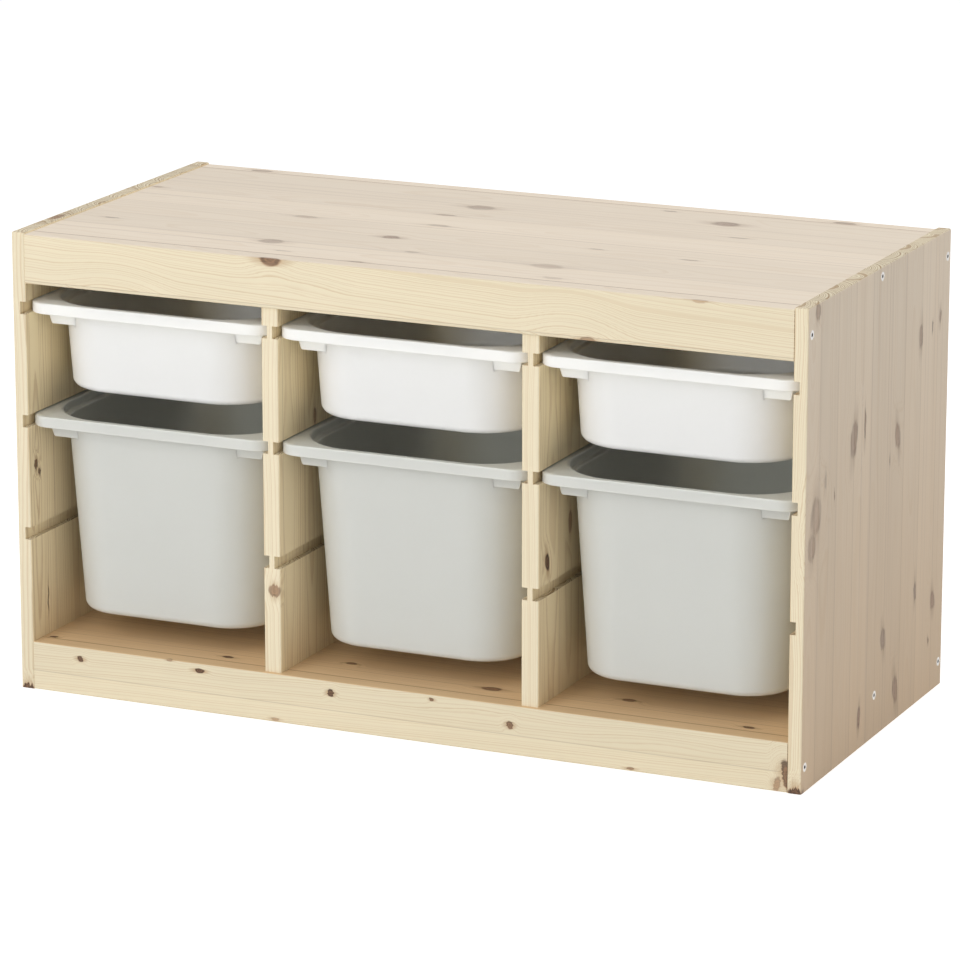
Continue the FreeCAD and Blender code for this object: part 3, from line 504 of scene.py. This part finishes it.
def zinc_material(looks):
    """Steel, zinc plated and tumbled: pale grey metal with a soft sheen, scuffs just under a
    millimetre wide and a drive painted dark as shade, because it is deep."""
    material, add, shader, millimetres = new_material("zinc plated steel, tumbled", Metallic=1.0)
    scuff = add("TexNoise", {"Vector": millimetres, "Scale": 1.1, "Detail": 3.0})
    factor = add("MapRange", (scuff, 0.0, 1.0, 0.85, 1.0))
    toned = add("VectorMath", {0: looks.zinc[:3], "Scale": factor}, operation="SCALE")
    head = float(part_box("side_screws_right")[1][0]) / MM
    inwards = add("Math", (add("SeparateXYZ", (millimetres,)),), operation="ABSOLUTE")
    # painted shade: the deep drive is drawn dark
    deep = add("MapRange", (inwards, head - 0.1, head - 0.6, 0.0, 0.95), **SMOOTH)
    toned = add("Mix", {SHARE: deep, UNDER: toned, OVER: looks.shade}, **COLOURS)
    gloss = add("MapRange", (scuff, 0.0, 1.0, 0.28, 0.48))
    return finish_material(material, shader, toned, gloss)


def beech_material(looks):
    """Beech, turned and fluted: warm plain wood with dark flecks about a millimetre wide."""
    material, add, shader, millimetres = new_material("beech, turned", Roughness=0.65)
    fleck = add("TexNoise", {"Vector": millimetres, "Scale": 0.9, "Detail": 4.0})
    factor = add("MapRange", (fleck, 0.0, 1.0, 0.83, 1.0))
    toned = add("VectorMath", {0: looks.beech[:3], "Scale": factor}, operation="SCALE")
    return finish_material(material, shader, toned)


def dress(node, material):
    """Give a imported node's object one material."""
    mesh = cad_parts[node].data
    mesh.materials.clear()
    mesh.materials.append(material)
    mesh.polygons.foreach_set("material_index", np.zeros(len(mesh.polygons), np.int32))


# ---------------------------------------------------------------- shapes

def soften(corners, radii, plane, steps=6, support=0.3 * MM, closed=False):
    """Polyline with round corners, worked out for all corners at once.

    Each corner becomes a rational quadratic from one leg to the other whose middle weight is
    the cosine of half the turn, which is a true arc in the plane named by two columns. One
    more point on each leg keeps the flat beside the arc flat."""
    before = np.roll(corners, 1, axis=0) if closed else np.vstack([corners[:1], corners[:-1]])
    after = np.roll(corners, -1, axis=0) if closed else np.vstack([corners[1:], corners[-1:]])
    inner = slice(None) if closed else slice(1, -1)
    point, back, ahead = corners[inner], (before - corners)[inner], (after - corners)[inner]
    back = back / np.linalg.norm(back[:, plane], axis=1, keepdims=True)
    ahead = ahead / np.linalg.norm(ahead[:, plane], axis=1, keepdims=True)
    spread = np.clip(np.sum(back[:, plane] * ahead[:, plane], axis=1), -1, 1)
    half_turn = (np.pi - np.arccos(spread)) / 2
    leg = (radii[inner] * np.tan(half_turn))[:, None]
    weight = np.cos(half_turn)[:, None, None]
    way = np.linspace(0, 1, steps + 1)[None, :, None]
    first, last = (point + back * leg)[:, None], (point + ahead * leg)[:, None]
    shares = (1 - way) ** 2, 2 * way * (1 - way) * weight, way ** 2
    arcs = (shares[0] * first + shares[1] * point[:, None] + shares[2] * last) / sum(shares)
    leads = (point + back * (leg + support))[:, None], (point + ahead * (leg + support))[:, None]
    rows = np.concatenate([leads[0], arcs, leads[1]], axis=1).reshape(-1, corners.shape[1])
    return rows if closed else np.vstack([corners[:1], rows, corners[-1:]])


def rounded_rings(half, centre, inset_x, inset_y, radius, height, steps=24, past=1.5 * MM):
    """Rounded rectangles, one for each height: the arcs' centres are the rectangle drawn in
    by the radius, and one more point past each end of an arc keeps the straight side flat."""
    quarter = np.linspace(0, np.pi / 2, steps + 1)
    turn = np.concatenate([[0], quarter, [np.pi / 2]])
    slide = np.concatenate([[-past], np.zeros(steps + 1), [past]])
    turns = (turn[None] + np.arange(4)[:, None] * np.pi / 2).ravel()[None]
    slides = np.tile(slide, 4)[None]
    signs_x = np.repeat([1, -1, -1, 1], steps + 3)[None]
    signs_y = np.repeat([1, 1, -1, -1], steps + 3)[None]
    radius = radius[:, None]
    reach_x = half[0] - inset_x[:, None] - radius
    reach_y = half[1] - inset_y[:, None] - radius
    x = centre[0] + signs_x * reach_x + radius * np.cos(turns) - slides * np.sin(turns)
    y = centre[1] + signs_y * reach_y + radius * np.sin(turns) + slides * np.cos(turns)
    z = np.broadcast_to(height[:, None], x.shape)
    return np.stack([x, y, z], axis=-1)


def tube_faces(rows, columns, first=0):
    """Quads between neighbouring rings of a closed grid, plus a lid on each end."""
    row, column = np.meshgrid(np.arange(rows - 1), np.arange(columns), indexing="ij")
    following = (column + 1) % columns
    quads = np.stack([row * columns + column, row * columns + following,
                      (row + 1) * columns + following, (row + 1) * columns + column], axis=-1)
    faces = (quads.reshape(-1, 4) + first).tolist()
    faces.append((np.arange(columns)[::-1] + first).tolist())
    faces.append((np.arange(columns) + (rows - 1) * columns + first).tolist())
    return faces


def bin_profile(sizes, height):
    """Section of a bin from the middle of its underside, out over the rim and down inside.

    Columns: inset from the rim's side edge, inset from its end, plan radius, height below the
    rim. A wall leans in by the taper for each unit down, and its plan radius shrinks alike."""
    def body(depth, inset):
        lean = sizes.taper * depth + inset
        return sizes.body_side + lean, sizes.body_end + lean, sizes.body_corner - lean, -depth

    wall, plate, lip = sizes.wall, sizes.rim_plate, sizes.lip_wall
    rim, low, ledge = sizes.rim_corner, sizes.rim_height, sizes.shoulder
    side, end, corner = sizes.mouth_side, sizes.mouth_end, sizes.mouth_corner
    outer, inner = sizes.bottom_round, sizes.bottom_round - wall
    fine, edge = 0.7 * MM, sizes.edge_round
    flat = 2 * MM            # level part of the floor before the lid that closes it
    floor = height - wall
    points = [
        (body(height, outer + flat), 0),
        (body(height, 0), outer),
        (body(ledge + wall, 0), fine),
        ((side - wall, end - wall, corner + wall, -ledge - wall), fine),
        ((side - wall, end - wall, corner + wall, -plate), fine),
        ((lip, lip, rim - lip, -plate), fine),
        ((lip, lip, rim - lip, -low), fine),
        ((0, 0, rim, -low), fine),
        ((0, 0, rim, 0), edge),
        ((side, end, corner, 0), edge),
        ((side, end, corner, -ledge), edge),
        (body(ledge, wall), edge),
        (body(floor, wall), inner),
        (body(floor, wall + inner + flat), 0),
    ]
    corners, radii = (np.array(column) for column in zip(*points))
    return soften(corners, radii, [0, 3], steps=8)


def web_shape(sizes, half, top, signs, steps=6):
    """Web under one corner of the rim: an outline in the plane of width and height, carried
    through its thickness, leaning back, with its edges eased.

    The outline runs down the leaning outer end, along the lower edge and down a curl. Its
    inner end is pushed out to the middle of the bin's wall, a circle in plan whose radius
    shrinks with depth: x is the circle's centre plus the root of radius squared less y squared.
    It leans back by the tilt for each unit down."""
    drop, plate = sizes.web_drop, sizes.rim_plate / 2
    ledge = sizes.shoulder + sizes.wall / 2
    # from the rim's side edge: inside the wall, behind the mouth, the curl's end, the top and
    # the lower end of the leaning edge
    inner, collar, tip, outer, low = half[0] - np.array([60, 44, 49.2, 14, 20.5]) * MM
    curl, nose, fine = 2.2 * MM, 2.5 * MM, 0.8 * MM
    ease, tilt, support = 0.35 * MM, 0.12, 0.05 * MM
    corners = np.array([
        (collar, -plate),
        (collar, -ledge),
        (inner, -ledge),
        (inner, -drop - curl),
        (tip, -drop - curl),
        (tip, -drop),
        (low, -drop),
        (outer, -plate),
    ])
    radii = np.array([fine, fine, fine, fine, fine, 1.4 * fine, nose, fine])
    outline = soften(corners, radii, [0, 1], steps, support, closed=True)
    along = np.roll(outline, -1, axis=0) - np.roll(outline, 1, axis=0)
    along /= np.linalg.norm(along, axis=1, keepdims=True)
    inwards = np.stack([-along[:, 1], along[:, 0]], axis=-1)
    turn = np.linspace(0, np.pi / 2, 5)
    rise, fall = ease * (1 - np.cos(turn)), ease * (1 - np.sin(turn))
    flat, thick = [1.6 * ease], sizes.web_thickness
    inset = np.concatenate([flat, fall, rise, flat])
    depth = np.concatenate([[0], rise, thick - fall, [thick]])
    rings = outline[None] + inwards[None] * inset[:, None, None]
    back = depth[:, None] - tilt * (rings[..., 1] + 2 * plate)
    y = half[1] - sizes.web_setback - back
    below = rings[..., 1] < -ledge
    lean = sizes.wall / 2 - sizes.taper * rings[..., 1]
    radius = np.where(below, sizes.body_corner - lean, sizes.mouth_corner + sizes.wall / 2)
    side = np.where(below, sizes.body_side + lean, sizes.mouth_side - sizes.wall / 2)
    end = np.where(below, sizes.body_end + lean, sizes.mouth_end - sizes.wall / 2)
    reach = y - (half[1] - end - radius)
    wall = half[0] - side - radius + np.sqrt(np.maximum(radius ** 2 - reach ** 2, 0))
    x = np.maximum(rings[..., 0], wall)
    return np.stack([signs[0] * x, signs[1] * y, top + rings[..., 1]], axis=-1)


def add_piece(name, points, faces):
    """New object from a list of point arrays and their faces. Points that fall together, as
    where a web ends in the wall, become one. It is smooth but for sharp edges."""
    mesh = bpy.data.meshes.new(name)
    mesh.from_pydata(np.concatenate(points), [], faces)
    shape = bmesh.new()
    shape.from_mesh(mesh)
    bmesh.ops.remove_doubles(shape, verts=shape.verts, dist=0.02 * MM)
    shape.to_mesh(mesh)
    shape.free()
    mesh.shade_smooth()
    mesh.set_sharp_from_angle(angle=math.radians(40))
    piece = bpy.data.objects.new(name, mesh)
    bpy.context.scene.collection.objects.link(piece)
    return piece


def make_bin(name, sizes):
    """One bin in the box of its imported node: the section carried round, and four webs.

    The webs are a piece of their own, so that light inside the wall meets no inner face."""
    low, high = (np.array(corner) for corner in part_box(name))
    half, centre = (high - low)[:2] / 2, (high + low)[:2] / 2
    section = bin_profile(sizes, high[2] - low[2])
    rings = rounded_rings(half, centre, section[:, 0], section[:, 1], section[:, 2],
                          high[2] + section[:, 3])
    shell = add_piece(name + "_moulded", [rings.reshape(-1, 3)], tube_faces(*rings.shape[:2]))
    points, faces = [], []
    for signs in ((1, 1), (1, -1), (-1, 1), (-1, -1)):
        web = web_shape(sizes, half, high[2], signs)
        web[..., :2] += centre
        if signs[0] * signs[1] > 0:
            web = web[:, ::-1]
        faces += tube_faces(*web.shape[:2], first=len(points) * web[..., 0].size)
        points.append(web.reshape(-1, 3))
    return shell, add_piece(name + "_webs", points, faces)


# ---------------------------------------------------------------- operators

class STORAGE_OT_boards(bpy.types.Operator):
    """Dress the frame's boards in lacquered pine"""
    bl_idname = "storage.boards"
    bl_label = "Pine boards"

    def execute(self, context):
        looks = context.scene.storage_finishes
        knots = knot_group()
        for name, board in BOARDS.items():
            dress(name, pine_material(name, board, looks, knots))
        return {"FINISHED"}


class STORAGE_OT_fasteners(bpy.types.Operator):
    """Dress the screws and dowels"""
    bl_idname = "storage.fasteners"
    bl_label = "Screws and dowels"

    def execute(self, context):
        looks = context.scene.storage_finishes
        zinc, beech = zinc_material(looks), beech_material(looks)
        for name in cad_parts:
            if name.endswith("screws") or "_screws_" in name:
                dress(name, zinc)
            elif "_dowels_" in name:
                dress(name, beech)
        return {"FINISHED"}


class STORAGE_OT_bins(bpy.types.Operator):
    """Build the six moulded bins"""
    bl_idname = "storage.bins"
    bl_label = "Moulded bins"

    def execute(self, context):
        sizes = context.scene.storage_bins
        looks = context.scene.storage_finishes
        finishes = {
            "shallow": plastic_material("polypropylene, moulded satin white", looks.white),
            "deep": plastic_material("polypropylene, moulded satin grey", looks.grey),
        }
        for kind, slot in (("shallow", "white_plastic"), ("deep", "grey_plastic")):
            for bay in BAYS:
                node = f"{kind}_bin_{bay}"
                dress(node, finishes[kind])
                for piece in make_bin(node, sizes):
                    piece.data.materials.append(finishes[kind])
                    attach(piece, f"{kind}_{bay}")
                    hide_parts(node)
        return {"FINISHED"}


def area_light(name, place, target, size, power):
    """Square soft white light that faces a target."""
    data = bpy.data.lights.new(name, "AREA")
    data.size = size
    data.energy = power
    lamp = bpy.data.objects.new(name, data)
    lamp.location = place
    lamp.rotation_euler = (target - lamp.location).to_track_quat("-Z", "Y").to_euler()
    bpy.context.scene.collection.objects.link(lamp)


def background_world(strength):
    """White seen directly or reflected, a plain level for the light it gives."""
    world = bpy.data.worlds.new("studio")
    world.use_nodes = True
    world.node_tree.nodes.clear()
    add = partial(add_node, world.node_tree)
    path = add("LightPath", (), None).outputs
    seen = add("Math", (path["Is Camera Ray"], path["Is Glossy Ray"]), operation="MAXIMUM")
    seen = add("Math", (seen, path["Is Transmission Ray"]), operation="MAXIMUM")
    level = add("MapRange", (seen, 0.0, 1.0, strength, 1.0))
    add("OutputWorld", (add("Background", ((1, 1, 1, 1), level)),), None)
    bpy.context.scene.world = world


FLOOR_GLOW = 0.5     # added where the camera or a reflection sees the floor


def floor_material(tone):
    """Painted board, matt: seen white by the camera, with the object's soft shadow kept."""
    material, add, shader, millimetres = new_material(
        "painted board, matt", Roughness=0.9, Specular_IOR_Level=0.0,
        Emission_Color=(1, 1, 1, 1))
    speckle = add("TexNoise", {"Vector": millimetres, "Scale": 0.04})
    factor = add("MapRange", (speckle, 0.0, 1.0, 0.99, 1.0))
    toned = add("VectorMath", {0: tone[:3], "Scale": factor}, operation="SCALE")
    path = add("LightPath", (), None).outputs
    seen = add("Math", (path["Is Camera Ray"], path["Is Glossy Ray"]), operation="MAXIMUM")
    glow = add("Math", (seen, FLOOR_GLOW), **TIMES)
    material.node_tree.links.new(glow, shader.inputs["Emission Strength"])
    return finish_material(material, shader, toned)


class STORAGE_OT_stage(bpy.types.Operator):
    """Add the floor, the soft lights and the camera"""
    bl_idname = "storage.stage"
    bl_label = "Stage"

    FLOOR_SIZE = 24
    # lights: name, place, size in metres, and share of the key light's power
    LAMPS = (
        ("high", (-1.6, -3.4, 3.0), 2.6, 0.9),
        ("front", (-0.6, -4.2, 1.0), 2.4, 1.0),
        ("top", (1.3, 1.4, 3.4), 2.4, 0.7),
    )
    CAMERA_PLACE = (2.199, -4.862, 1.637)
    CAMERA_PITCH = 14.70     # degrees below level
    CAMERA_TURN = 24.36      # degrees to the left of straight in
    LENS = 186.7
    VIEW_DEPTH = 100

    def execute(self, context):
        studio = context.scene.storage_studio
        scene = context.scene
        bpy.ops.mesh.primitive_grid_add(x_subdivisions=4, y_subdivisions=4,
                                        size=self.FLOOR_SIZE)
        floor = context.object
        floor.name = "floor"
        floor.data.materials.append(floor_material(studio.floor))
        background_world(studio.ambient)
        target = sum(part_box("top_panel"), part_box("bottom_panel")[0]) / 3
        for name, place, size, share in self.LAMPS:
            area_light(name, place, target, size, studio.key * share)
        data = bpy.data.cameras.new("camera")
        data.lens = self.LENS
        data.clip_end = self.VIEW_DEPTH
        camera = bpy.data.objects.new("camera", data)
        camera.location = self.CAMERA_PLACE
        camera.rotation_euler = (math.radians(90 - self.CAMERA_PITCH), 0,
                                 math.radians(self.CAMERA_TURN))
        scene.collection.objects.link(camera)
        scene.camera = camera
        scene.view_settings.view_transform = "Standard"
        return {"FINISHED"}


OPERATORS = (STORAGE_OT_boards, STORAGE_OT_fasteners, STORAGE_OT_bins, STORAGE_OT_stage)
GROUPS = {"storage_bins": BinSizes, "storage_finishes": Finishes, "storage_studio": Studio}


class STORAGE_PT_panel(bpy.types.Panel):
    """Sidebar tab with the steps in order and what they use"""
    bl_label = "Storage frame"
    bl_space_type = "VIEW_3D"
    bl_region_type = "UI"
    bl_category = "Storage"

    def draw(self, context):
        for operator in OPERATORS:
            self.layout.operator(operator.bl_idname)
        for group in GROUPS:
            box = self.layout.box()
            settings = getattr(context.scene, group)
            for name in settings.bl_rna.properties.keys():
                if name not in ("rna_type", "name"):
                    box.prop(settings, name)


CLASSES = (*GROUPS.values(), *OPERATORS, STORAGE_PT_panel)


def register():
    """Register the classes, and hang the groups of settings on the scene."""
    for item in CLASSES:
        bpy.utils.register_class(item)
    for name, group in GROUPS.items():
        setattr(bpy.types.Scene, name, PointerProperty(type=group))


def unregister():
    """Undo register, in the opposite order."""
    for name in GROUPS:
        delattr(bpy.types.Scene, name)
    for item in reversed(CLASSES):
        bpy.utils.unregister_class(item)


def main():
    """Take the steps in order."""
    register()
    for operator in OPERATORS:
        area, step = operator.bl_idname.split(".")
        getattr(getattr(bpy.ops, area), step)()


if __name__ == "__main__":
    main()
